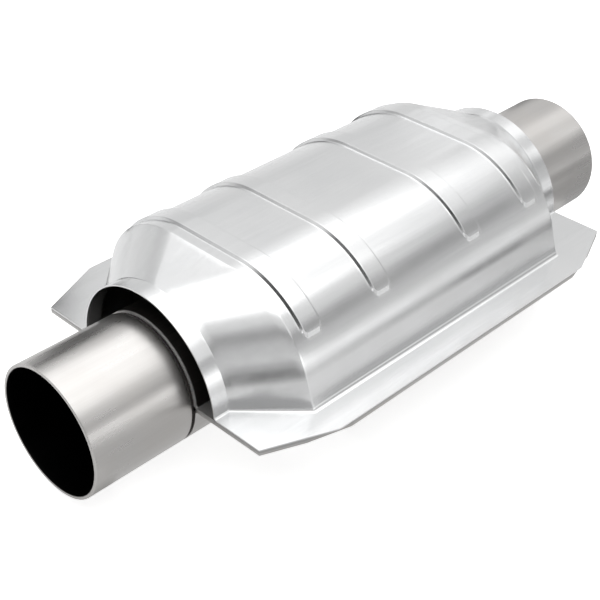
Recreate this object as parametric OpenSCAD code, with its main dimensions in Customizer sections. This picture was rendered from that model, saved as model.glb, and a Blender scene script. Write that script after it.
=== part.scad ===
// Catalytic converter with two stamped half shells, stub pipes and a ribbed heat shield.
// Millimetres, +Z up. X runs along the pipes from inlet (-X) to outlet (+X).
// Origin: middle of the flat underside of the body.

/* [Pipes] */
// Outside diameter of the stub pipe at each end
pipe_d = 63.5; // [58:0.5:68]
// Wall thickness of the stub pipes
pipe_wall = 1.65; // [1.2:0.05:2]
// How far each stub pipe stands out past the neck of the body
pipe_reach = 53; // [40:1:80]
// How far the reduced end of a stub pipe goes into the neck
pipe_entry = 16; // [10:1:17]
// Width of the welded groove between pipe shoulder and neck
groove_w = 1.5; // [1:0.1:2.5]

/* [Body] */
// Width of the chamber over its sheet
chamber_w = 124; // [112:1:140]
// Height of the chamber over its sheet
chamber_h = 80; // [74:1:90]
// Corner radius of the chamber outside
chamber_r = 30; // [24:1:34]
// Length of the straight chamber
chamber_l = 158; // [150:1:190]
// Length of each end cone of the body
cone_l = 21; // [16:1:30]
// Length of the round neck at each end
neck_l = 19.5; // [18:0.5:30]
// Sheet thickness of the two half shells
shell_t = 1.2; // [1:0.1:1.5]

/* [Flange] */
// Width of the flange beside the foot of the heat shield
flange_side = 15.6; // [10:0.2:24]
// Half width of the short end edge of the flange beside the arch
flange_end = 27.8; // [15:0.2:30]
// Length of the slanted flange corner along the pipe direction
flange_slant = 33.3; // [10:0.1:45]

/* [Heat shield] */
// Sheet thickness of the heat shield
shield_t = 0.6; // [0.5:0.1:1]
// Air gap between chamber and shield at the top
air_top = 11.3; // [6:0.1:18]
// Air gap between chamber and shield at the foot of the side
air_side = 7; // [4:0.1:12]
// Air gap between neck and the arch of the shield
air_neck = 11.75; // [5:0.05:14]
// Length of the round collar at each end of the shield
collar_l = 8.3; // [5:0.1:12]
// Length of each end cone of the shield
shield_cone_l = 25; // [20:0.5:28]
// Large radius between the side and the top of the shield
shoulder_r = 49.2; // [40:0.1:50]
// Lean of the shield sides inward from upright, in degrees
side_lean = 15.6; // [8:0.1:18]
// Radius of the bend between the shield side and its flange
bend_r = 2.4; // [1:0.1:4]

/* [Ribs] */
// Width of each pressed rib along the pipe direction
rib_w = 11.4; // [8:0.1:16]
// Height of the pressed ribs above the shield
rib_h = 1.4; // [1:0.1:3]
// Distance from the middle of the shield to the inner ribs
rib_inner_x = 31.5; // [20:0.25:40]
// Distance between an inner rib and the outer rib next to it
rib_pitch = 43.5; // [30:0.25:45]
// Distance from the middle plane to the ends of the ribs
rib_half = 58.6; // [45:0.1:60]
// Corner radius of the ribs seen from above
rib_corner = 1.8; // [1.2:0.1:4]

/* [Bricks] */
// Space between the two bricks
brick_gap = 22; // [14:1:30]
// Space between a retaining ring and the end of the straight chamber
end_room = 0.5; // [0.3:0.1:6]
// Thickness of the support mat round each brick
mat_t = 4; // [3:0.1:5]
// Length of each knitted seal at the ends of a mat
seal_l = 6; // [4:0.5:8]
// Spacing of the gas channels
cell_pitch = 7; // [6:0.5:12]
// Wall between two gas channels
cell_wall = 1.6; // [1:0.1:2.5]
// Sheet thickness of the retaining rings and the separator band
ring_t = 1.2; // [1:0.1:1.5]
// Width of the lip that bears on the rim of a brick
lip_w = 3; // [2:0.1:4]

/* [Fits] */
// Clearance between round or curved faces that fit in each other
fit = 0.3; // [0.2:0.05:0.4]

/* [Hidden] */
pipe_r = pipe_d / 2;
neck_r = pipe_r - shell_t;
spigot_r = neck_r - fit;
axis_z = chamber_h / 2;
chamber_x = chamber_l / 2;
cone_x = chamber_x + cone_l;
body_x = cone_x + neck_l;
mouth_x = body_x + pipe_reach;
step_x = body_x + groove_w;
edge_r = 0.3;
step_r = 0.8;
swage_l = 2.5;
arch_r = pipe_r + air_neck;
collar_x = body_x - collar_l;
dome_x = collar_x - shield_cone_l;
foot_w = chamber_w / 2 + air_side + shield_t;
top_z = chamber_h / 2 + air_top + shield_t;
flange_z = shell_t + shield_t;
side_w = foot_w + flange_side;
end_w = arch_r + flange_end;
shoulder_z = top_z - shoulder_r;
lean_run = (shoulder_z + shoulder_r * sin(side_lean) - flange_z) * tan(side_lean);
shoulder_y = foot_w - shoulder_r * cos(side_lean) - lean_run;
rib_spots = [-rib_inner_x - rib_pitch, -rib_inner_x, rib_inner_x, rib_inner_x + rib_pitch];
mat_in = shell_t + fit;
brick_in = mat_in + mat_t + fit;
brick_x = brick_gap / 2;
brick_end = chamber_x - end_room - ring_t - fit;
brick_l = brick_end - brick_x;
brick_w = chamber_w - 2 * brick_in;
brick_h = chamber_h - 2 * brick_in;
brick_r = chamber_r - brick_in;
rim_w = 3;
slice = 0.02;
far = 400;
round_n = 72;
inner_n = 48;
cone_n = 36;
corner_n = 24;
shoulder_n = 14;
arch_n = 35;
bend_n = 5;
bend_dip = 0.03;

// Turns a flat outline (Y across, Z up) into a solid along X from x0 to x1
module along(x0, x1) {
    translate([x0, 0, axis_z])
        rotate([90, 0, 90])
            linear_extrude(height = x1 - x0)
                children();
}

// Upper half of a flat outline, from the height z0 above the pipe axis
module above(z0 = 0) {
    intersection() {
        children();
        translate([-far / 2, z0])
            square([far, far]);
    }
}

// Chamber outline set inward by d
module chamber_outline(d, n = round_n) {
    w = chamber_w - 2 * d;
    h = chamber_h - 2 * d;
    r = chamber_r - d;
    square([w, h - 2 * r], center = true);
    square([w - 2 * r, h], center = true);
    for (y = [-1, 1], z = [-1, 1])
        translate([y * (w / 2 - r), z * (h / 2 - r)])
            circle(r = r, $fn = n);
}

// Points on an arc round [y, z], from angle a0 to a1
function arc(y, z, r, a0, a1, n) =
    [for (i = [0:n]) [y + r * cos(a0 + (a1 - a0) * i / n), z + r * sin(a0 + (a1 - a0) * i / n)]];

// Dome outline of the shield set inward by d, cut off at the height z0
module dome_outline(d, z0) {
    r = shoulder_r - d;
    y_foot = foot_w - d / cos(side_lean) + (flange_z - z0) * tan(side_lean);
    polygon(concat(
        [[y_foot, z0]],
        arc(shoulder_y, shoulder_z, r, side_lean, 90, shoulder_n),
        arc(-shoulder_y, shoulder_z, r, 90, 180 - side_lean, shoulder_n),
        [[-y_foot, z0]]));
}

// Round outline of the shield collar set inward by d, cut off at the height z0
module arch_outline(d, z0) {
    above(z0)
        polygon(arc(0, 0, arch_r + shield_t - d, -15, 195, arch_n));
}

// Soft bend between dome side and flange, set inward by d and carried down by drop
module foot_bend(d, drop) {
    r = bend_r + d;
    leg = r / tan((90 + side_lean) / 2);
    for (s = [0, 1])
        mirror([s, 0])
            translate([foot_w - d / cos(side_lean) + d * tan(side_lean), flange_z - d - bend_dip])
                polygon(concat(
                    [[0, 0], [0, -drop], [leg, -drop]],
                    arc(leg, r, r, 270, 180 + side_lean, bend_n)));
}

// Outline of the welded flange seen from above
module flange_outline() {
    polygon([
        [-body_x, -end_w], [-body_x + flange_slant, -side_w],
        [body_x - flange_slant, -side_w], [body_x, -end_w],
        [body_x, end_w], [body_x - flange_slant, side_w],
        [-body_x + flange_slant, side_w], [-body_x, end_w]]);
}

module flange_sheet(z, t) {
    translate([0, 0, axis_z + z])
        linear_extrude(height = t)
            flange_outline();
}

// Upper half of the body form, set inward by d, drawn out past the necks by more
module body_form(d, more) {
    along(-chamber_x, chamber_x)
        above(-more)
            chamber_outline(d);
    for (s = [0, 1])
        mirror([s, 0, 0]) {
            along(cone_x - slice, body_x + more)
                above(-more)
                    circle(r = pipe_r - d, $fn = round_n);
            hull() {
                along(chamber_x - slice, chamber_x)
                    above(-more)
                        chamber_outline(d, cone_n);
                along(cone_x - slice, cone_x)
                    above(-more)
                        circle(r = pipe_r - d, $fn = cone_n);
            }
        }
}

module half_shell() {
    difference() {
        union() {
            body_form(0, 0);
            flange_sheet(0, shell_t);
        }
        body_form(shell_t, 1);
    }
}

module upper_shell() {
    color([0.62, 0.61, 0.6])
        half_shell();
}

module lower_shell() {
    color([0.6, 0.59, 0.58])
        translate([0, 0, 2 * axis_z])
            mirror([0, 0, 1])
                half_shell();
}

// Stub pipe at the outlet: full size outside, reduced where it enters the neck
module stub_pipe() {
    translate([0, 0, axis_z])
        rotate([0, 90, 0])
            rotate_extrude($fn = round_n)
                polygon(concat(
                    [[pipe_r - edge_r, mouth_x], [pipe_r, mouth_x - edge_r]],
                    [for (a = [0:22.5:90])
                        [pipe_r - step_r + step_r * cos(a), step_x + step_r - step_r * sin(a)]],
                    [[spigot_r, step_x], [spigot_r, body_x - pipe_entry],
                    [spigot_r - pipe_wall, body_x - pipe_entry], [spigot_r - pipe_wall, step_x],
                    [pipe_r - pipe_wall, step_x + swage_l],
                    [pipe_r - pipe_wall, mouth_x - edge_r], [pipe_r - pipe_wall + edge_r, mouth_x]]));
}

// Weld bead that lies in the groove between pipe shoulder and neck
module groove_bead() {
    bead_r = spigot_r + fit;
    translate([0, 0, axis_z])
        rotate([0, 90, 0])
            rotate_extrude($fn = round_n)
                polygon(concat(
                    [[bead_r, step_x], [bead_r, body_x]],
                    [for (a = [0:36:180])
                        [bead_r + 0.45 + 0.3 * sin(a), body_x + groove_w * a / 180]]));
}

module outlet_pipe() {
    color([0.8, 0.78, 0.76])
        stub_pipe();
}

module inlet_pipe() {
    color([0.8, 0.78, 0.76])
        mirror([1, 0, 0])
            stub_pipe();
}

module outlet_weld() {
    color([0.3, 0.27, 0.25])
        groove_bead();
}

module inlet_weld() {
    color([0.3, 0.27, 0.25])
        mirror([1, 0, 0])
            groove_bead();
}

// Shield form set inward by d, drawn down and out past its ends by more
module shield_form(d, more) {
    z0 = shell_t - more;
    along(-dome_x, dome_x)
        dome_outline(d, z0);
    along(-dome_x, dome_x)
        foot_bend(d, more + shield_t / 2);
    for (s = [0, 1])
        mirror([s, 0, 0]) {
            along(collar_x - slice, body_x + more)
                arch_outline(d, z0);
            hull() {
                along(dome_x - slice, dome_x)
                    dome_outline(d, z0);
                along(collar_x - slice, collar_x)
                    arch_outline(d, z0);
            }
        }
}

// Outlines of the ribs seen from above, set inward by d
module rib_plan(d) {
    w = rib_w - 2 * d;
    l = 2 * (rib_half - d);
    r = rib_corner - d;
    for (x = rib_spots)
        translate([x, 0]) {
            square([w, l - 2 * r], center = true);
            square([w - 2 * r, l], center = true);
            for (i = [-1, 1], j = [-1, 1])
                translate([i * (w / 2 - r), j * (l / 2 - r)])
                    circle(r = r, $fn = corner_n);
        }
}

// Pressed ribs of the shield, set inward by d on every side
module rib_form(d) {
    intersection() {
        along(-dome_x, dome_x)
            dome_outline(d - rib_h, flange_z);
        translate([0, 0, axis_z])
            linear_extrude(height = far)
                rib_plan(d);
    }
}

module heat_shield() {
    color([0.86, 0.87, 0.87])
        difference() {
            union() {
                shield_form(0, 0);
                flange_sheet(shell_t, shield_t);
                rib_form(0);
            }
            shield_form(shield_t, 1);
            rib_form(shield_t);
        }
}

// Ring of the chamber outline between the inward steps d0 and d1
module chamber_ring(x0, x1, d0, d1) {
    along(x0, x1)
        difference() {
            chamber_outline(d0, inner_n);
            chamber_outline(d1, inner_n);
        }
}

// Ceramic brick with straight gas channels through it
module brick(x0) {
    half_y = floor((brick_w / 2 - rim_w) / cell_pitch - 0.5);
    half_z = floor((brick_h / 2 - rim_w) / cell_pitch - 0.5);
    hole = cell_pitch - cell_wall;
    core_y = brick_w / 2 - brick_r;
    core_z = brick_h / 2 - brick_r;
    reach = brick_r - rim_w;
    along(x0, x0 + brick_l)
        difference() {
            chamber_outline(brick_in, inner_n);
            for (i = [-half_y:half_y], j = [-half_z:half_z]) {
                dy = max(0, abs(i) * cell_pitch + hole / 2 - core_y);
                dz = max(0, abs(j) * cell_pitch + hole / 2 - core_z);
                if (norm([dy, dz]) < reach)
                    translate([i * cell_pitch, j * cell_pitch])
                        square(hole, center = true);
            }
        }
}

module front_brick() {
    color([0.78, 0.72, 0.6])
        brick(-brick_end);
}

module rear_brick() {
    color([0.78, 0.72, 0.6])
        brick(brick_x);
}

module mat(x0) {
    chamber_ring(x0 + seal_l + fit, x0 + brick_l - seal_l - fit, mat_in, mat_in + mat_t);
}

module seal(x0) {
    chamber_ring(x0, x0 + seal_l, mat_in, mat_in + mat_t);
}

module front_mat() {
    color([0.9, 0.88, 0.82])
        mat(-brick_end);
}

module rear_mat() {
    color([0.9, 0.88, 0.82])
        mat(brick_x);
}

module front_inlet_seal() {
    color([0.45, 0.45, 0.46])
        seal(-brick_end);
}

module front_outlet_seal() {
    color([0.45, 0.45, 0.46])
        seal(-brick_x - seal_l);
}

module rear_inlet_seal() {
    color([0.45, 0.45, 0.46])
        seal(brick_x);
}

module rear_outlet_seal() {
    color([0.45, 0.45, 0.46])
        seal(brick_end - seal_l);
}

// Flat ring that keeps a brick from moving out of the chamber
module retainer(x0) {
    chamber_ring(x0, x0 + ring_t, mat_in, brick_in + lip_w);
}

module inlet_retainer() {
    color([0.6, 0.6, 0.6])
        retainer(-brick_end - fit - ring_t);
}

module outlet_retainer() {
    color([0.6, 0.6, 0.6])
        retainer(brick_end + fit);
}

// Band with two inward lips that keeps the bricks apart
module separator_band() {
    x = brick_x - fit;
    color([0.6, 0.6, 0.6]) {
        chamber_ring(-x, x, mat_in, mat_in + ring_t);
        for (s = [0, 1])
            mirror([s, 0, 0])
                chamber_ring(x - ring_t, x, mat_in, brick_in + lip_w);
    }
}

inlet_pipe();
outlet_pipe();
inlet_weld();
outlet_weld();
upper_shell();
lower_shell();
heat_shield();
front_brick();
rear_brick();
front_mat();
rear_mat();
front_inlet_seal();
front_outlet_seal();
rear_inlet_seal();
rear_outlet_seal();
inlet_retainer();
outlet_retainer();
separator_band();
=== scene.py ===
from math import acos, asin, atan2, cos, hypot, pi, radians, sin, sqrt, tan

import bmesh
import bpy
from mathutils import Matrix, Vector


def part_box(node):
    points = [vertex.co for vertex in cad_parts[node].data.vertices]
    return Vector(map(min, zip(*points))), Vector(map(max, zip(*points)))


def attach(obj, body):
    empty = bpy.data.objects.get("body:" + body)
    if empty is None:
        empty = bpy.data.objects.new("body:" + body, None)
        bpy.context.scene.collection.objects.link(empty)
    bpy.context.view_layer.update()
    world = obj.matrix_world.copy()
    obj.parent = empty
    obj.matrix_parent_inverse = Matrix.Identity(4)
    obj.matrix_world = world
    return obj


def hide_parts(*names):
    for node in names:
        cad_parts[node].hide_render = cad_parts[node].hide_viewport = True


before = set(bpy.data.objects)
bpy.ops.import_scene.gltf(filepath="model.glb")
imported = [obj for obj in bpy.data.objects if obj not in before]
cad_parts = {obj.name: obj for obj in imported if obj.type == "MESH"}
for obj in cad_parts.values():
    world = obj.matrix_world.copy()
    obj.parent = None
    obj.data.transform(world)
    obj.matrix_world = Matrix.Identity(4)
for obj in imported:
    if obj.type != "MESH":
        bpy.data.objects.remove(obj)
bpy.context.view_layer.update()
mm = 0.001

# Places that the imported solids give.
pipeLow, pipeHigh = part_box("outlet_pipe")
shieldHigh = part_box("heat_shield")[1]
axisZ = (pipeLow.z + pipeHigh.z) / 2
pipeRadius = (pipeHigh.z - pipeLow.z) / 2
mouthEnd = pipeHigh.x
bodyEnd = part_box("upper_shell")[1].x

# A chain is a row of points that outlines the part at one place along X. Chains that are bridged
# have the same number of points, and a line's stops keep the faces slim beside its ends.
lineStops = (0.03, 0.5, 0.97)
lineSteps = len(lineStops) + 1


def startChain(mesh, x, y, z):
    return bmesh.ops.create_vert(mesh, co=(x, y, z))["vert"]


def drawLine(mesh, chain, end, stops=lineStops):
    begin = chain[-1].co.copy()
    for stop in (*stops, 1.0):
        point = bmesh.ops.extrude_vert_indiv(mesh, verts=[chain[-1]])["verts"][0]
        point.co = begin.lerp(Vector(end), stop)
        chain.append(point)


def drawArc(mesh, chain, centre, turned, steps, axis=(1, 0, 0)):
    known = len(mesh.verts)
    bmesh.ops.spin(mesh, geom=[chain[-1]], cent=centre, axis=axis, angle=turned,
                   steps=steps, use_duplicate=False)
    mesh.verts.ensure_lookup_table()
    chain.extend(mesh.verts[known:])


def chainEdges(mesh, chain):
    return [mesh.edges.get(pair) for pair in zip(chain, chain[1:])]


def bridgeChains(mesh, chains):
    for near, far in zip(chains, chains[1:]):
        bmesh.ops.bridge_loops(mesh, edges=chainEdges(mesh, near) + chainEdges(mesh, far))


def mirrorOver(mesh, *axes, centre=(0, 0, 0)):
    for axis in axes:
        bmesh.ops.mirror(mesh, geom=mesh.verts[:] + mesh.edges[:] + mesh.faces[:],
                         matrix=Matrix.Translation(centre).inverted(), merge_dist=1e-6, axis=axis)
    bmesh.ops.remove_doubles(mesh, verts=mesh.verts[:], dist=1e-6)


def faceUp(mesh):
    bmesh.ops.recalc_face_normals(mesh, faces=mesh.faces[:])
    if sum(face.normal.z * face.calc_area() for face in mesh.faces) < 0:
        bmesh.ops.reverse_faces(mesh, faces=mesh.faces[:])


def turnRound(mesh, axis):
    bmesh.ops.rotate(mesh, verts=mesh.verts[:], cent=(0, 0, axisZ),
                     matrix=Matrix.Rotation(pi, 3, axis))


def roundCreases(mesh, width, steps=2, least=9.5):
    creases = [edge for edge in mesh.edges
               if len(edge.link_faces) == 2 and edge.calc_face_angle() > radians(least)]
    bmesh.ops.bevel(mesh, geom=creases, offset=width, segments=steps, profile=0.5,
                    affect="EDGES", material=-1, clamp_overlap=True)


def finishPiece(mesh, name, material, slotName, *nodes, sharp=35):
    for face in mesh.faces:
        face.smooth = True
    for edge in mesh.edges:
        edge.smooth = len(edge.link_faces) == 2 and edge.calc_face_angle() < radians(sharp)
    data = bpy.data.meshes.new(name)
    mesh.to_mesh(data)
    mesh.free()
    data.materials.append(material)
    piece = bpy.data.objects.new(name, data)
    bpy.context.scene.collection.objects.link(piece)
    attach(piece, "root")
    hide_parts(*nodes)
    print(name, "made with", len(data.polygons), "faces")


flange = {
    "sideHalf": shieldHigh.y,
    "endHalf": 71.3 * mm,
    "slantStart": 86.2 * mm,
}


def flangeHalf(x):
    share = max(0.0, (x - flange["slantStart"]) / (bodyEnd - flange["slantStart"]))
    return flange["sideHalf"] + (flange["endHalf"] - flange["sideHalf"]) * share


def drawFlange(mesh, chain, bendY, bend, start, level, steps):
    x = chain[-1].co.x
    drawArc(mesh, chain, (x, bendY, level + bend), pi / 2 - start, steps)
    drawLine(mesh, chain, (x, flangeHalf(x), level))


def roundChain(mesh, x, radius, bend, level, turns, bendSteps):
    # turns: the angle at which each part of the box outline ends, top first, and its steps
    rise = level - axisZ
    last = asin((rise + bend) / (radius + bend))
    chain = startChain(mesh, x, 0, axisZ + radius)
    begin = pi / 2
    for end, steps in (*turns, (last, lineSteps)):
        drawArc(mesh, chain, (x, 0, axisZ), end - begin, steps)
        begin = end
    bendY = sqrt((radius + bend) ** 2 - (rise + bend) ** 2)
    drawFlange(mesh, chain, bendY, bend, last, level, bendSteps)
    return chain


def pressSheet(mesh, sheet, coneStart, coneEnd):
    # Splits the cone into rows, mirrors the quarter both ways and gives the sheet its thickness.
    cone = [mesh.edges.get(pair) for pair in zip(coneStart, coneEnd)]
    bmesh.ops.subdivide_edges(mesh, edges=cone, cuts=sheet["coneRows"], use_grid_fill=True)
    mirrorOver(mesh, "Y", "X")
    faceUp(mesh)
    roundCreases(mesh, sheet["crease"])
    bmesh.ops.solidify(mesh, geom=mesh.faces[:], thickness=sheet["thickness"])


# Heat shield

shield = {
    "thickness": 0.6 * mm,
    "flangeRise": 1.8 * mm,
    "domeEnd": 86.2 * mm,
    "collarStart": 111.2 * mm,
    "footHalf": 69.6 * mm,
    "shoulderRadius": 49.2 * mm,
    "sideLean": 15.6,
    "collarRadius": 44.1 * mm,
    "domeBend": 2.4 * mm,
    "collarBend": 1.0 * mm,
    "crease": 0.2 * mm,
    "guard": 0.9 * mm,  # from a crease to the row of points that holds it
    "crownTurn": 87.5,
    "shoulderSteps": 26,
    "sideSteps": 9,
    "bendSteps": 12,
    "coneRows": 8,
}

rib = {
    "middles": (31.5 * mm, 75.0 * mm),
    "width": 11.4 * mm,
    "height": 1.4 * mm,
    "reach": 58.6 * mm,
    "sideSlope": 0.8 * mm,
    "endSlope": 0.15 * mm,
    "corner": 1.8 * mm,
    "cornerShares": (1, 0.72, 0.44, 0.2, 0),
    "wallShares": (0.8, 0.2, 0),
}

lean = radians(shield["sideLean"])
shieldLevel = axisZ + shield["flangeRise"]
shoulderZ = shieldHigh.z - rib["height"] - shield["shoulderRadius"]
leanRun = (shoulderZ + shield["shoulderRadius"] * sin(lean) - shieldLevel) * tan(lean)
shoulderY = shield["footHalf"] - shield["shoulderRadius"] * cos(lean) - leanRun


def ribTurns(reach):
    top = acos((reach - shoulderY) / (shield["shoulderRadius"] + rib["height"]))
    return top, acos((reach + rib["endSlope"] - shoulderY) / shield["shoulderRadius"])


def domeChain(mesh, x, lift, reach):
    radius = shield["shoulderRadius"]
    ribTopTurn, ribFootTurn = ribTurns(reach)
    centre = (x, shoulderY, shoulderZ)
    chain = startChain(mesh, x, 0, shoulderZ + radius + lift)
    drawLine(mesh, chain, (x, shoulderY, shoulderZ + radius + lift))
    drawArc(mesh, chain, centre, ribTopTurn - pi / 2, shield["shoulderSteps"])
    drawLine(mesh, chain, (x, shoulderY + radius * cos(ribFootTurn),
                           shoulderZ + radius * sin(ribFootTurn)), stops=())
    drawArc(mesh, chain, centre, lean - ribFootTurn, shield["sideSteps"])
    bend = shield["domeBend"]
    leg = bend / tan((pi / 2 + lean) / 2)
    drawLine(mesh, chain, (x, shield["footHalf"] - leg * sin(lean), shieldLevel + leg * cos(lean)))
    drawFlange(mesh, chain, shield["footHalf"] + leg, bend, lean, shieldLevel,
               shield["bendSteps"])
    return chain


def collarChain(mesh, x):
    ribTopTurn, ribFootTurn = ribTurns(rib["reach"])
    turns = ((radians(shield["crownTurn"]), lineSteps), (ribTopTurn, shield["shoulderSteps"]),
             (ribFootTurn, 1), (lean, shield["sideSteps"]))
    return roundChain(mesh, x, shield["collarRadius"], shield["collarBend"], shieldLevel, turns,
                      shield["bendSteps"])


def makeShield(material):
    mesh = bmesh.new()
    guard, slope, corner, height = shield["guard"], rib["sideSlope"], rib["corner"], rib["height"]
    # Half a rib from its middle outward: distance from the middle, lift and reach.
    half = [(rib["width"] / 2 - slope - corner * share, height,
             rib["reach"] - corner * (1 - sqrt(1 - (1 - share) ** 2)))
            for share in rib["cornerShares"]]
    half += [(rib["width"] / 2 - slope * share, height * share, rib["reach"] - corner)
             for share in rib["wallShares"]]
    half += [(rib["width"] / 2 + guard, 0, rib["reach"])]
    places = [(0, 0, rib["reach"])]
    for middle in rib["middles"]:
        places += [(middle - away, lift, reach) for away, lift, reach in reversed(half)]
        places += [(middle + away, lift, reach) for away, lift, reach in half]
    places += [(shield["domeEnd"] - guard, 0, rib["reach"]), (shield["domeEnd"], 0, rib["reach"])]
    dome = [domeChain(mesh, *place) for place in places]
    collar = [collarChain(mesh, x)
              for x in (shield["collarStart"], shield["collarStart"] + guard, bodyEnd)]
    bridgeChains(mesh, dome + collar)
    pressSheet(mesh, shield, dome[-1], collar[0])
    finishPiece(mesh, "ribbedHeatShield", material, "shield_steel", "heat_shield")


# Half shells

shell = {
    "thickness": 1.2 * mm,
    "chamberEnd": 79.0 * mm,
    "coneEnd": 100.0 * mm,
    "halfWidth": 62.0 * mm,
    "halfHeight": 40.0 * mm,
    "cornerRadius": 30.0 * mm,
    "bend": 1.5 * mm,
    "crease": 0.6 * mm,
    "guard": 1.2 * mm,
    "crownTurn": 87,
    "sideTurn": 8,
    "cornerSteps": 28,
    "bendSteps": 8,
    "coneRows": 7,
}

shellLevel = axisZ + shell["thickness"]


def boxChain(mesh, x):
    radius = shell["cornerRadius"]
    cornerY = shell["halfWidth"] - radius
    cornerZ = axisZ + shell["halfHeight"] - radius
    chain = startChain(mesh, x, 0, cornerZ + radius)
    drawLine(mesh, chain, (x, cornerY, cornerZ + radius))
    drawArc(mesh, chain, (x, cornerY, cornerZ), -pi / 2, shell["cornerSteps"])
    drawLine(mesh, chain, (x, shell["halfWidth"], shellLevel + shell["bend"]))
    drawFlange(mesh, chain, shell["halfWidth"] + shell["bend"], shell["bend"], 0, shellLevel,
               shell["bendSteps"])
    return chain


def makeHalfShell(name, node, material, upper):
    mesh = bmesh.new()
    guard = shell["guard"]
    turns = ((radians(shell["crownTurn"]), lineSteps),
             (radians(shell["sideTurn"]), shell["cornerSteps"]))
    box = [boxChain(mesh, x) for x in (0, shell["chamberEnd"] - guard, shell["chamberEnd"])]
    neck = [roundChain(mesh, x, pipeRadius, shell["bend"], shellLevel, turns, shell["bendSteps"])
            for x in (shell["coneEnd"], shell["coneEnd"] + guard, bodyEnd)]
    bridgeChains(mesh, box + neck)
    pressSheet(mesh, shell, box[-1], neck[0])
    if not upper:
        turnRound(mesh, "X")
    finishPiece(mesh, name, material, "shell_steel", node)


# Stub pipes and the weld beads in their grooves

pipe = {
    "wall": 1.65 * mm,
    "entry": 16.0 * mm,
    "groove": 1.5 * mm,
    "spigotRadius": 30.25 * mm,
    "shoulderRound": 0.8 * mm,
    "swage": 2.5 * mm,
    "mouthRound": 0.35 * mm,
    "turns": 128,
    "shoulderSteps": 6,
    "mouthSteps": 4,
}

bead = {
    "seatRadius": 30.55 * mm,
    "height": 0.6 * mm,
    "ripples": 84,
    "rippleDepth": 0.12 * mm,
    "rippleBow": 2.2,
    "rippleSteps": 4,
    "steps": 8,
}


def spinRound(mesh, turns):
    bmesh.ops.remove_doubles(mesh, verts=mesh.verts[:], dist=1e-7)
    bmesh.ops.spin(mesh, geom=mesh.verts[:] + mesh.edges[:], cent=(0, 0, axisZ), axis=(1, 0, 0),
                   angle=2 * pi, steps=turns, use_merge=True, use_duplicate=False)
    bmesh.ops.recalc_face_normals(mesh, faces=mesh.faces[:])


def turnedAbout(mesh, chain, x, radius, turned, steps):
    drawArc(mesh, chain, (x, 0, axisZ + radius), turned, steps, axis=(0, 1, 0))


def makePipe(name, node, material, side):
    mesh = bmesh.new()
    outer, inner = pipeRadius, pipeRadius - pipe["wall"]
    low = pipe["spigotRadius"]
    lip, curve = pipe["mouthRound"], pipe["shoulderRound"]
    step = bodyEnd + pipe["groove"]
    chain = startChain(mesh, mouthEnd - lip, 0, axisZ + outer)
    drawLine(mesh, chain, (step + curve, 0, axisZ + outer), stops=(0.01, 0.25, 0.5, 0.75, 0.99))
    turnedAbout(mesh, chain, step + curve, outer - curve, -pi / 2, pipe["shoulderSteps"])
    for x, radius in ((step, low), (bodyEnd - pipe["entry"], low),
                      (bodyEnd - pipe["entry"], low - pipe["wall"]), (step, low - pipe["wall"]),
                      (step + pipe["swage"], inner), (mouthEnd - lip, inner)):
        drawLine(mesh, chain, (x, 0, axisZ + radius), stops=(0.04, 0.96))
    turnedAbout(mesh, chain, mouthEnd - lip, inner + lip, -pi / 2, pipe["mouthSteps"])
    drawLine(mesh, chain, (mouthEnd, 0, axisZ + outer - lip), stops=())
    turnedAbout(mesh, chain, mouthEnd - lip, outer - lip, -pi / 2, pipe["mouthSteps"])
    spinRound(mesh, pipe["turns"])
    if side < 0:
        turnRound(mesh, "Z")
    finishPiece(mesh, name, material, "pipe_steel", node)


def makeBead(name, node, material, side):
    mesh = bmesh.new()
    seat, half = bead["seatRadius"], pipe["groove"] / 2
    middle = bodyEnd + half
    chain = startChain(mesh, middle + half, 0, axisZ + seat)
    turnedAbout(mesh, chain, middle, seat, -pi, bead["steps"])
    drawLine(mesh, chain, (middle + half, 0, axisZ + seat), stops=())
    spinRound(mesh, bead["ripples"] * bead["rippleSteps"])
    for point in mesh.verts:
        radius = hypot(point.co.y, point.co.z - axisZ)
        share = (radius - seat) / half
        across = (point.co.x - middle) / half
        turned = atan2(point.co.z - axisZ, point.co.y)
        wave = sin(bead["ripples"] * turned + bead["rippleBow"] * across * across)
        wanted = seat + share * (bead["height"] + bead["rippleDepth"] * wave)
        point.co.y *= wanted / radius
        point.co.z = axisZ + (point.co.z - axisZ) * wanted / radius
    if side < 0:
        turnRound(mesh, "Z")
    finishPiece(mesh, name, material, "weld_metal", node, sharp=70)


# Bricks

brick = {
    "inner": 11.0 * mm,
    "outer": 77.0 * mm,
    "halfWidth": 56.2 * mm,
    "halfHeight": 34.2 * mm,
    "cornerRadius": 24.2 * mm,
    "skin": 2.6 * mm,
    "pitch": 2.0 * mm,
    "wall": 0.3 * mm,
    "cellOverlap": 0.8,  # share of the skin that the cells leave free
    "skinLip": 0.05 * mm,
    "cornerSteps": 12,
}


def brickChain(mesh, x, inset):
    radius = brick["cornerRadius"] - inset
    cornerY = brick["halfWidth"] - brick["cornerRadius"]
    cornerZ = axisZ + brick["halfHeight"] - brick["cornerRadius"]
    chain = startChain(mesh, x, 0, cornerZ + radius)
    drawLine(mesh, chain, (x, cornerY, cornerZ + radius), stops=())
    drawArc(mesh, chain, (x, cornerY, cornerZ), -pi / 2, brick["cornerSteps"])
    drawLine(mesh, chain, (x, cornerY + radius, axisZ), stops=())
    return chain


def insideBrick(y, z, inset):
    overY = max(0.0, abs(y) - (brick["halfWidth"] - brick["cornerRadius"]))
    overZ = max(0.0, abs(z) - (brick["halfHeight"] - brick["cornerRadius"]))
    return hypot(overY, overZ) < brick["cornerRadius"] - inset


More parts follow.
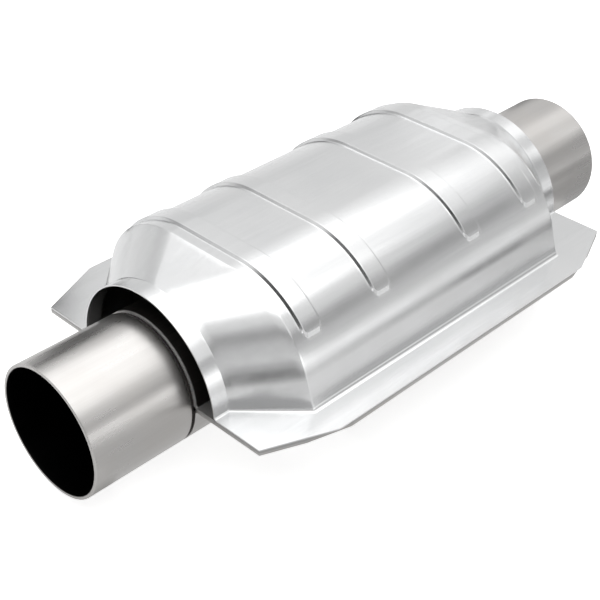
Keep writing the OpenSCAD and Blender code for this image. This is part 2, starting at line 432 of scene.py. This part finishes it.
def makeBrick(name, node, material, side):
    mesh = bmesh.new()
    near, far = brick["inner"], brick["outer"]
    count = int(2 * brick["halfWidth"] / brick["pitch"])
    turn = Matrix.Translation((far, 0, axisZ)) @ Matrix.Rotation(pi / 2, 4, "Y")
    bmesh.ops.create_grid(mesh, x_segments=count, y_segments=count,
                          size=count * brick["pitch"] / 2, matrix=turn)
    inset = brick["skin"] * brick["cellOverlap"]
    middles = [(face, face.calc_center_median()) for face in mesh.faces]
    outside = [face for face, middle in middles
               if not insideBrick(middle.y, middle.z - axisZ, inset)]
    bmesh.ops.delete(mesh, geom=outside, context="FACES")
    cells = mesh.faces[:]
    bmesh.ops.inset_individual(mesh, faces=cells, thickness=brick["wall"] / 2)
    bmesh.ops.delete(mesh, geom=cells, context="FACES")
    grown = bmesh.ops.extrude_face_region(mesh, geom=mesh.faces[:], use_keep_orig=True)["geom"]
    moved = [part for part in grown if isinstance(part, bmesh.types.BMVert)]
    bmesh.ops.translate(mesh, verts=moved, vec=(near - far, 0, 0))

    skin = bmesh.new()
    low, high = near - brick["skinLip"], far + brick["skinLip"]
    chains = [brickChain(skin, x, inset) for x, inset in (
        (low, 0), (high, 0), (high, brick["skin"]), (low, brick["skin"]))]
    bridgeChains(skin, [*chains, chains[0]])
    mirrorOver(skin, "Y", "Z", centre=(0, 0, axisZ))
    skinData = bpy.data.meshes.new(name + "Skin")
    skin.to_mesh(skinData)
    skin.free()
    mesh.from_mesh(skinData)
    bpy.data.meshes.remove(skinData)
    bmesh.ops.recalc_face_normals(mesh, faces=mesh.faces[:])
    if side < 0:
        turnRound(mesh, "Z")
    finishPiece(mesh, name, material, "brick_ceramic", node)


# Node helpers


def addNode(tree, kind, **settings):
    node = tree.nodes.new(kind)
    for key, value in settings.items():
        setattr(node, key, value)
    return node


def plug(tree, value, socket):
    if isinstance(value, tuple):
        socket.default_value = (*value, 1) if socket.type == "RGBA" else value
    elif isinstance(value, (int, float)):
        socket.default_value = value
    else:
        tree.links.new(value, socket)


def calculate(tree, operation, *values):
    node = addNode(tree, "ShaderNodeMath", operation=operation)
    for socket, value in zip(node.inputs, values):
        plug(tree, value, socket)
    return node.outputs[0]


def remap(tree, value, low, high, toLow=0.0, toHigh=1.0):
    node = addNode(tree, "ShaderNodeMapRange")
    for label, number in (("Value", value), ("From Min", low), ("From Max", high),
                          ("To Min", toLow), ("To Max", toHigh)):
        plug(tree, number, node.inputs[label])
    return node.outputs[0]


def mixColours(tree, share, first, second):
    node = addNode(tree, "ShaderNodeMix", data_type="RGBA")
    sockets = [socket for socket in node.inputs if socket.enabled]
    for socket, value in zip(sockets, (share, first, second)):
        plug(tree, value, socket)
    return next(socket for socket in node.outputs if socket.enabled)


def stretchedNoise(tree, place, stretch, scale, detail, roughness=0.55):
    mapping = addNode(tree, "ShaderNodeMapping")
    plug(tree, stretch, mapping.inputs["Scale"])
    plug(tree, place, mapping.inputs["Vector"])
    texture = addNode(tree, "ShaderNodeTexNoise")
    for label, value in (("Scale", scale), ("Detail", detail), ("Roughness", roughness),
                         ("Vector", mapping.outputs[0])):
        plug(tree, value, texture.inputs[label])
    return texture.outputs[0]


def newGroup(name, inputs, outputs):
    group = bpy.data.node_groups.new(name, "ShaderNodeTree")
    for label, kind, value in inputs:
        socket = group.interface.new_socket(label, in_out="INPUT", socket_type="NodeSocket" + kind)
        if value is not None:
            socket.default_value = value
    for label in outputs:
        group.interface.new_socket(label, in_out="OUTPUT", socket_type="NodeSocketFloat")
    start = addNode(group, "NodeGroupInput").outputs
    end = addNode(group, "NodeGroupOutput").inputs
    return group, start, end


def makeGrainGroup():
    group, start, end = newGroup(
        "drawnGrain", [("Place", "Vector", None), ("Line Scale", "Float", 1400.0)],
        ["Lines", "Streaks", "Blotches", "Grain"])
    place, scale = start["Place"], start["Line Scale"]
    lines = stretchedNoise(group, place, (0.02, 1, 1), scale, 3)
    broad = calculate(group, "MULTIPLY", scale, 0.11)
    fine = calculate(group, "MULTIPLY", scale, 2.2)
    streaks = stretchedNoise(group, place, (0.03, 1, 1), broad, 4)
    blotches = stretchedNoise(group, place, (0.6, 1, 1), 18.0, 3)
    grain = stretchedNoise(group, place, (1, 1, 1), fine, 2)
    for label, value in (("Lines", lines), ("Streaks", streaks), ("Blotches", blotches),
                         ("Grain", grain)):
        plug(group, remap(group, value, 0.31, 0.69), end[label])
    return group


def makeMarksGroup():
    group, start, end = newGroup(
        "handlingMarks", [("Place", "Vector", None)], ["Scuffs", "Smudges"])
    warp = addNode(group, "ShaderNodeTexNoise")
    plug(group, 25.0, warp.inputs["Scale"])
    plug(group, start["Place"], warp.inputs["Vector"])
    bent = addNode(group, "ShaderNodeVectorMath", operation="MULTIPLY_ADD")
    plug(group, warp.outputs["Color"], bent.inputs[0])
    plug(group, (0.012, 0.012, 0.012), bent.inputs[1])
    plug(group, start["Place"], bent.inputs[2])
    cells = addNode(group, "ShaderNodeTexVoronoi", feature="DISTANCE_TO_EDGE")
    plug(group, bent.outputs[0], cells.inputs["Vector"])
    plug(group, 60.0, cells.inputs["Scale"])
    hair = remap(group, cells.outputs["Distance"], 0.0, 0.02, 1.0, 0.0)
    spread = stretchedNoise(group, start["Place"], (1, 1, 1), 35.0, 3)
    patch = remap(group, spread, 0.52, 0.68)
    plug(group, calculate(group, "MULTIPLY", hair, patch), end["Scuffs"])
    smudges = stretchedNoise(group, bent.outputs[0], (1, 1, 1), 22.0, 5, 0.6)
    plug(group, remap(group, smudges, 0.38, 0.7), end["Smudges"])
    return group


grainGroup = makeGrainGroup()
marksGroup = makeMarksGroup()


def newMaterial(name, colour, metallic, roughness):
    material = bpy.data.materials.new(name)
    material.use_nodes = True
    tree = material.node_tree
    surface = tree.nodes["Principled BSDF"].inputs
    plug(tree, colour, surface["Base Color"])
    plug(tree, metallic, surface["Metallic"])
    plug(tree, roughness, surface["Roughness"])
    return material, tree, surface, addNode(tree, "ShaderNodeTexCoord").outputs["Object"]


def useGroup(tree, group, place, settings=()):
    node = addNode(tree, "ShaderNodeGroup", node_tree=group)
    plug(tree, place, node.inputs["Place"])
    for label, value in dict(settings).items():
        plug(tree, value, node.inputs[label])
    return node.outputs


def addBump(tree, surface, height, depth):
    node = addNode(tree, "ShaderNodeBump")
    plug(tree, depth, node.inputs["Distance"])
    plug(tree, height, node.inputs["Height"])
    plug(tree, node.outputs[0], surface["Normal"])


def sheetMetal(name, look):
    material, tree, surface, place = newMaterial(name, look["light"], 1.0, look["roughness"])
    grain = useGroup(tree, grainGroup, place, {"Line Scale": look["lineScale"]})
    marks = useGroup(tree, marksGroup, place)
    shade = calculate(tree, "MULTIPLY_ADD", grain["Lines"], 0.45,
                      calculate(tree, "MULTIPLY", grain["Streaks"], 0.55))
    shade = calculate(tree, "MULTIPLY", shade,
                      remap(tree, grain["Blotches"], 0, 1, 1 - look["blotch"], 1))
    colour = mixColours(tree, shade, look["light"], look["dark"])
    stained = calculate(tree, "MULTIPLY", marks["Smudges"], look["stain"])
    colour = mixColours(tree, stained, colour, look["stainColour"])
    plug(tree, colour, surface["Base Color"])
    rough = calculate(tree, "MULTIPLY_ADD", grain["Streaks"], 0.05, look["roughness"] - 0.025)
    rough = calculate(tree, "MULTIPLY_ADD", marks["Smudges"], 0.06, rough)
    rough = calculate(tree, "MULTIPLY_ADD", marks["Scuffs"], look["scuff"], rough)
    plug(tree, rough, surface["Roughness"])
    height = calculate(tree, "MULTIPLY_ADD", grain["Grain"], 0.3, grain["Lines"])
    addBump(tree, surface, height, look["bump"])
    return material, tree, surface, colour, place


def along(tree, place, axis):
    split = addNode(tree, "ShaderNodeSeparateXYZ")
    plug(tree, place, split.inputs[0])
    return split.outputs[axis]


def alongX(tree, place):
    return calculate(tree, "ABSOLUTE", along(tree, place, "X"))


def fromAxis(tree, place):
    away = addNode(tree, "ShaderNodeVectorMath", operation="SUBTRACT")
    plug(tree, place, away.inputs[0])
    plug(tree, (0, 0, axisZ), away.inputs[1])
    flat = addNode(tree, "ShaderNodeVectorMath", operation="MULTIPLY")
    plug(tree, away.outputs[0], flat.inputs[0])
    plug(tree, (0, 1, 1), flat.inputs[1])
    size = addNode(tree, "ShaderNodeVectorMath", operation="LENGTH")
    plug(tree, flat.outputs[0], size.inputs[0])
    return size.outputs["Value"]


looks = {
    "shield": {"light": (0.735, 0.74, 0.745), "dark": (0.66, 0.665, 0.67), "roughness": 0.19,
               "lineScale": 1400.0, "blotch": 0.4, "stain": 0.1,
               "stainColour": (0.66, 0.64, 0.61), "scuff": 0.01, "bump": 1e-6},
    "shell": {"light": (0.56, 0.555, 0.55), "dark": (0.42, 0.415, 0.41), "roughness": 0.36,
              "lineScale": 1100.0, "blotch": 0.4, "stain": 0.3,
              "stainColour": (0.36, 0.32, 0.28), "scuff": 0.05, "bump": 5e-6},
    # painted shade: a near-black sheet that stands in for the shade on the upper shell under the
    # heat shield
    "paintedShade": {"light": (0.05, 0.046, 0.043), "dark": (0.02, 0.018, 0.017), "roughness": 0.5,
                  "lineScale": 1100.0, "blotch": 0.4, "stain": 0.3,
                  "stainColour": (0.03, 0.026, 0.024), "scuff": 0.05, "bump": 5e-6},
    "tube": {"light": (0.52, 0.51, 0.5), "dark": (0.47, 0.46, 0.45), "roughness": 0.28,
             "lineScale": 2400.0, "blotch": 0.5, "stain": 0.22,
             "stainColour": (0.46, 0.42, 0.38), "scuff": 0.01, "bump": 2e-7},
    "ring": {"light": (0.52, 0.515, 0.51), "dark": (0.4, 0.395, 0.39), "roughness": 0.4,
             "lineScale": 1400.0, "blotch": 0.4, "stain": 0.2,
             "stainColour": (0.38, 0.34, 0.3), "scuff": 0.05, "bump": 5e-6},
    # the neck's rim colour is a painted highlight, brighter than the bare steel; the edge colour
    # is the steel's grey where the painted shade stops
    "neck": {"rim": (0.78, 0.77, 0.76), "edge": (0.4, 0.395, 0.39)},
    # the near-black bore colour is painted shade inside the pipe
    "pipe": {"tint": (0.34, 0.31, 0.3), "tintShare": 0.15, "boreShade": (0.012, 0.012, 0.012)},
    # the weld's near-black is partly its heat-darkened metal and partly painted shade of the
    # groove it sits in
    "weld": {"light": (0.06, 0.052, 0.046), "dark": (0.03, 0.03, 0.036),
             "grain": (0.035, 0.032, 0.03), "roughness": (0.4, 0.6),
             "lineScale": 900.0, "bump": 3e-5},
    "ceramic": {"light": (0.62, 0.52, 0.38), "dark": (0.47, 0.38, 0.27),
                "grain": (0.7, 0.62, 0.48), "roughness": (0.75, 0.95),
                "lineScale": 700.0, "bump": 6e-5},
    "fibre": {"light": (0.86, 0.83, 0.77), "dark": (0.66, 0.6, 0.5), "roughness": (0.85, 1.0),
              "scale": 900.0, "bump": 2e-4},
    "wire": {"light": (0.5, 0.5, 0.51), "dark": (0.12, 0.12, 0.125), "roughness": (0.6, 0.35),
             "scale": 420.0, "bump": 2e-4},
}


def grained(name, look, metallic):
    material, tree, surface, place = newMaterial(name, look["light"], metallic,
                                                 look["roughness"][0])
    grain = useGroup(tree, grainGroup, place, {"Line Scale": look["lineScale"]})
    colour = mixColours(tree, grain["Blotches"], look["light"], look["dark"])
    colour = mixColours(tree, grain["Grain"], colour, look["grain"])
    plug(tree, colour, surface["Base Color"])
    plug(tree, remap(tree, grain["Grain"], 0, 1, *look["roughness"]), surface["Roughness"])
    addBump(tree, surface, grain["Grain"], look["bump"])
    return material


def makeMaterials():
    made = {"shield_steel": sheetMetal("shieldSheet", looks["shield"])[0],
            "shell_steel": sheetMetal("shellSheet", looks["shell"])[0],
            "ring_steel": sheetMetal("ringSheet", looks["ring"])[0]}

    material, tree, surface, colour, place = sheetMetal("paintedShadeSheet", looks["paintedShade"])
    # The upper shell is painted near-black as painted shade, standing in for the shade under the
    # heat shield. The flange's edge keeps the steel's grey, and the neck's cut rim is painted
    # brighter than bare steel as a painted highlight.
    look = looks["neck"]
    rim = remap(tree, alongX(tree, place), bodyEnd - 1.2 * mm, bodyEnd - 0.6 * mm)
    colour = mixColours(tree, rim, colour, look["rim"])
    edge = remap(tree, along(tree, place, "Z"), shellLevel + 0.2 * mm, shellLevel)
    plug(tree, mixColours(tree, edge, colour, look["edge"]), surface["Base Color"])
    made["paintedShade"] = material

    material, tree, surface, colour, place = sheetMetal("tubeSteel", looks["tube"])
    # The weld's heat tints the shoulder, and the bore is painted near-black as painted shade
    # inside the pipe.
    look = looks["pipe"]
    tint = remap(tree, alongX(tree, place), bodyEnd + 4.5 * mm, bodyEnd + 1.5 * mm, 0,
                 look["tintShare"])
    colour = mixColours(tree, tint, colour, look["tint"])
    boreEdge = pipeRadius - pipe["wall"]
    boreShade = remap(tree, fromAxis(tree, place), boreEdge + 0.1 * mm, boreEdge + 0.35 * mm, 1, 0)
    plug(tree, mixColours(tree, boreShade, colour, look["boreShade"]), surface["Base Color"])
    made["pipe_steel"] = material

    # The weld bead is painted near-black: partly heat-darkened weld metal, partly painted shade of
    # its groove.
    made["weld_metal"] = grained("weldTintAndShade", looks["weld"], 1.0)
    made["brick_ceramic"] = grained("brickCeramic", looks["ceramic"], 0.0)

    look = looks["fibre"]
    material, tree, surface, place = newMaterial("matFibre", look["light"], 0.0,
                                                 look["roughness"][0])
    fibres = stretchedNoise(tree, place, (1, 0.15, 0.4), look["scale"], 5, 0.7)
    share = remap(tree, fibres, 0.35, 0.65)
    plug(tree, mixColours(tree, share, look["light"], look["dark"]), surface["Base Color"])
    plug(tree, remap(tree, fibres, 0.3, 0.7, *look["roughness"]), surface["Roughness"])
    addBump(tree, surface, fibres, look["bump"])
    made["mat_fibre"] = material

    look = looks["wire"]
    material, tree, surface, place = newMaterial("knittedWire", look["light"], 1.0,
                                                 look["roughness"][0])
    waves = addNode(tree, "ShaderNodeTexWave", bands_direction="DIAGONAL")
    for label, value in (("Scale", look["scale"]), ("Distortion", 6.0), ("Vector", place)):
        plug(tree, value, waves.inputs[label])
    wire = waves.outputs["Fac"]
    plug(tree, mixColours(tree, wire, look["dark"], look["light"]), surface["Base Color"])
    plug(tree, remap(tree, wire, 0, 1, *look["roughness"]), surface["Roughness"])
    addBump(tree, surface, wire, look["bump"])
    made["seal_wire"] = material
    return made


materials = makeMaterials()
print("materials made:", len(materials))

makeShield(materials["shield_steel"])
# The upper shell is painted near-black, a painted shade of the space under the heat shield.
makeHalfShell("upperHalfShell", "upper_shell", materials["paintedShade"], True)
makeHalfShell("lowerHalfShell", "lower_shell", materials["shell_steel"], False)
for side, end, place in ((-1, "inlet", "front"), (1, "outlet", "rear")):
    makePipe(end + "StubPipe", end + "_pipe", materials["pipe_steel"], side)
    makeBead(end + "WeldBead", end + "_weld", materials["weld_metal"], side)
    makeBrick(place + "Honeycomb", place + "_brick", materials["brick_ceramic"], side)

innerSlots = {"mat": "mat_fibre", "seal": "seal_wire", "retainer": "ring_steel",
              "band": "ring_steel"}
for name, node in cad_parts.items():
    kind = name.split("_")[-1]
    if kind in innerSlots:
        for materialSlot in node.material_slots:
            materialSlot.material = materials[innerSlots[kind]]
print("inner pieces painted")

# Studio: floor, world, one lamp, and the walls and cards that only the metal mirrors

stage = {
    "floorColour": (0.8, 0.8, 0.8),
    "floorGlow": 0.7,  # keeps the floor white to the camera
    "mirroredFloorGlow": 0.1,
    "worldLight": 0.5,
    "mirroredWorld": 0.86,
    "lampHeight": 1.25,
    "lampWidth": 2.24,
    "lampPower": 15.5,
    "roomReach": 1.2,
    "rooms": (
        # name, the turn in degrees that the wall spans, then heights with their greys
        ("greyRoom", (-36, -165),
         ((0.0, 1.06), (0.14, 1.02), (0.2, 0.8), (0.28, 0.69), (0.42, 0.66), (0.5, 0.58),
          (0.56, 0.44), (0.62, 0.35), (0.73, 0.35), (0.79, 0.58), (0.88, 0.84), (1.0, 1.0))),
        ("farRoom", (0, -36),
         ((0.0, 0.6), (0.4, 0.6), (0.7, 0.52), (0.85, 0.55), (0.97, 0.72), (1.08, 0.95),
          (1.25, 1.3))),
        ("paleRoom", (0, 150),
         ((0.0, 0.95), (0.1, 0.95), (0.25, 0.88), (0.5, 0.82), (0.84, 0.8), (0.93, 1.02),
          (1.0, 1.06), (1.14, 1.1), (1.25, 1.2))),
    ),
    "cards": (
        # name, place, aims at, width, height, grey
        ("backCard", (-0.762, 0.861, 0.362), (0, 0, 0.09), 0.38, 0.28, 0.36),
        ("gapCard", (-0.943, 0.567, 0.42), (0, 0, 0.42), 0.2, 0.6, 1.1),
        ("leftCard", (-0.5, 0.003, 0.184), (0, 0.003, 0.184), 0.33, 0.262, 0.05),
        ("highCard", (-0.027, 1.107, 0.861), (-0.1, 0.06, 0.07), 0.416, 0.535, 0.72),
        ("edgeCard", (0.006, 0.313, 0.13), (-0.15, 0, 0.13), 0.065, 0.25, 0.03),
        ("farEdgeCard", (0.25, 0.079, 0.052), (0.16, 0, 0.052), 0.04, 0.05, 0.3),
        ("farPipeCard", (0.44, 0.005, 0.315), (0.15, 0, 0.315), 0.13, 0.2, 1.4),
        ("farSideCard", (0.333, -0.111, 0.2), (0.15, -0.03, 0.07), 0.11, 0.07, 1.4),
        ("farTopCard", (0.884, 0.605, 0.6), (0.08, 0.01, 0.09), 0.133, 0.2, 1.15),
        ("softCard", (-0.066, 0.489, 0.845), (-0.1, 0, 0.09), 0.27, 0.32, 1.1),
        ("pipeCard", (-0.081, -0.161, 0.073), (-0.148, -0.029, 0.054), 0.1, 0.024, 1.85),
        ("highPipeCard", (-0.083, -0.131, 0.143), (-0.15, -0.024, 0.061), 0.1, 0.055, 1.0),
        ("topPipeCard", (-0.082, -0.11, 0.166), (-0.148, -0.022, 0.063), 0.1, 0.026, 1.7),
        ("flangeCard", (0.345, -0.137, 0.6), (-0.03, -0.062, 0.061), 0.2, 0.2, 1.3),
        ("coneCard", (-0.88, -0.763, 0.066), (-0.1, -0.06, 0.066), 0.45, 0.13, 0.5),
        ("bandCard", (0.527, -0.94, 0.07), (-0.06, -0.07, 0.07), 0.25, 0.13, 1.4),
        ("stripeCard", (0.15, -0.35, 0.0006), (0.15, -0.35, 1), 0.14, 0.13, 0.45),
        ("farStripeCard", (0.42, -0.36, 0.0006), (0.42, -0.36, 1), 0.4, 0.19, 0.12),
        ("outerStripeCard", (0.62, -0.62, 0.0006), (0.62, -0.62, 1), 0.3, 0.14, 0.35),
        ("nearStripeCard", (-0.5, -0.45, 0.0006), (-0.5, -0.45, 1), 0.5, 0.5, 0.1),
        ("inletCard", (-0.1, -0.13, 0.0006), (-0.1, -0.13, 1), 0.1, 0.25, 0.7),
        ("outletCard", (0.225, -0.065, 0.0006), (0.225, -0.065, 1), 0.09, 0.11, 0.52),
        ("farOutletCard", (0.35, -0.18, 0.0006), (0.35, -0.18, 1), 0.18, 0.16, 0.52),
    ),
}


view = {
    "place": (-0.3890, -0.3651, 0.39555),
    "tilt": 55.0,
    "turn": -44.92,
    "lens": 77.97,
    "sensor": 36.0,
    "nearest": 0.01,
}


def seenAs(tree, base, direct, mirrored):
    # base is for the light that falls on the object, direct for the camera and through glass
    path = addNode(tree, "ShaderNodeLightPath").outputs
    clear = calculate(tree, "MAXIMUM", path["Is Camera Ray"], path["Is Transmission Ray"])
    strength = calculate(tree, "MULTIPLY_ADD", clear, direct - base, base)
    return calculate(tree, "MULTIPLY_ADD", path["Is Glossy Ray"], mirrored - base, strength)


def addToStage(name, mesh, material):
    data = bpy.data.meshes.new(name)
    mesh.to_mesh(data)
    mesh.free()
    data.materials.append(material)
    thing = bpy.data.objects.new(name, data)
    bpy.context.scene.collection.objects.link(thing)
    return thing


def makeFloor():
    mesh = bmesh.new()
    bmesh.ops.create_grid(mesh, x_segments=2, y_segments=2, size=6)
    material, tree, surface, place = newMaterial("floorPaint", stage["floorColour"], 0.0, 0.6)
    plug(tree, (1.0, 1.0, 1.0), surface["Emission Color"])
    glow = seenAs(tree, 0, stage["floorGlow"], stage["mirroredFloorGlow"])
    plug(tree, glow, surface["Emission Strength"])
    addToStage("studioFloor", mesh, material)


def makeWorld():
    world = bpy.data.worlds.new("studioWorld")
    bpy.context.scene.world = world
    world.use_nodes = True
    tree = world.node_tree
    background = tree.nodes["Background"].inputs
    plug(tree, (1.0, 1.0, 1.0), background["Color"])
    strength = seenAs(tree, stage["worldLight"], 1, stage["mirroredWorld"])
    plug(tree, strength, background["Strength"])


def aim(thing, place, target):
    thing.location = place
    thing.rotation_euler = (Vector(target) - Vector(place)).to_track_quat("-Z", "Y").to_euler()


def makeLamp():
    data = bpy.data.lights.new("topLamp", "AREA")
    data.shape = "DISK"
    data.size, data.energy = stage["lampWidth"], stage["lampPower"]
    lamp = bpy.data.objects.new("topLamp", data)
    bpy.context.scene.collection.objects.link(lamp)
    aim(lamp, (0, 0, stage["lampHeight"]), (0, 0, 0))


def glowing(name):
    material = bpy.data.materials.new(name)
    material.use_nodes = True
    tree = material.node_tree
    glow = addNode(tree, "ShaderNodeEmission")
    plug(tree, glow.outputs[0], tree.nodes["Material Output"].inputs["Surface"])
    return material, tree, glow.inputs["Color"]


def onlyMirrored(thing):
    thing.visible_camera = thing.visible_diffuse = thing.visible_shadow = False
    thing.visible_transmission = thing.visible_volume_scatter = False


def makeRoom(name, turn, shades):
    mesh = bmesh.new()
    first, last = radians(turn[0]), radians(turn[1])
    corner = Vector((stage["roomReach"] * cos(first), stage["roomReach"] * sin(first), 0))
    chain = [mesh.verts.new(corner + Vector((0, 0, height))) for height, grey in shades]
    edges = [mesh.edges.new(pair) for pair in zip(chain, chain[1:])]
    bmesh.ops.spin(mesh, geom=chain + edges, cent=(0, 0, 0), axis=(0, 0, 1),
                   angle=last - first, steps=24)
    material, tree, colour = glowing(name)
    split = addNode(tree, "ShaderNodeSeparateXYZ")
    plug(tree, addNode(tree, "ShaderNodeNewGeometry").outputs["Position"], split.inputs[0])
    ramp = addNode(tree, "ShaderNodeValToRGB")
    top = shades[-1][0]
    plug(tree, calculate(tree, "DIVIDE", split.outputs["Z"], top), ramp.inputs["Fac"])
    stops = ramp.color_ramp.elements
    while len(stops) < len(shades):
        stops.new(0.5)
    for stop, (height, grey) in zip(stops, shades):
        stop.position = height / top
        stop.color = (grey, grey, grey, 1)
    plug(tree, ramp.outputs["Color"], colour)
    onlyMirrored(addToStage(name, mesh, material))


def makeCards():
    for name, place, target, width, height, grey in stage["cards"]:
        mesh = bmesh.new()
        bmesh.ops.create_grid(mesh, x_segments=1, y_segments=1, size=0.5,
                              matrix=Matrix.Diagonal((width, height, 1, 1)))
        material, tree, colour = glowing(name)
        plug(tree, (grey, grey, grey), colour)
        card = addToStage(name, mesh, material)
        aim(card, place, target)
        onlyMirrored(card)


def makeCamera():
    data = bpy.data.cameras.new("camera")
    data.sensor_width = view["sensor"]
    data.lens = view["lens"]
    data.clip_start = view["nearest"]
    camera = bpy.data.objects.new("camera", data)
    camera.location = view["place"]
    camera.rotation_euler = (radians(view["tilt"]), 0, radians(view["turn"]))
    bpy.context.scene.collection.objects.link(camera)
    bpy.context.scene.camera = camera


makeFloor()
makeWorld()
makeLamp()
for room in stage["rooms"]:
    makeRoom(*room)
makeCards()
makeCamera()
bpy.context.scene.view_settings.view_transform = "Standard"
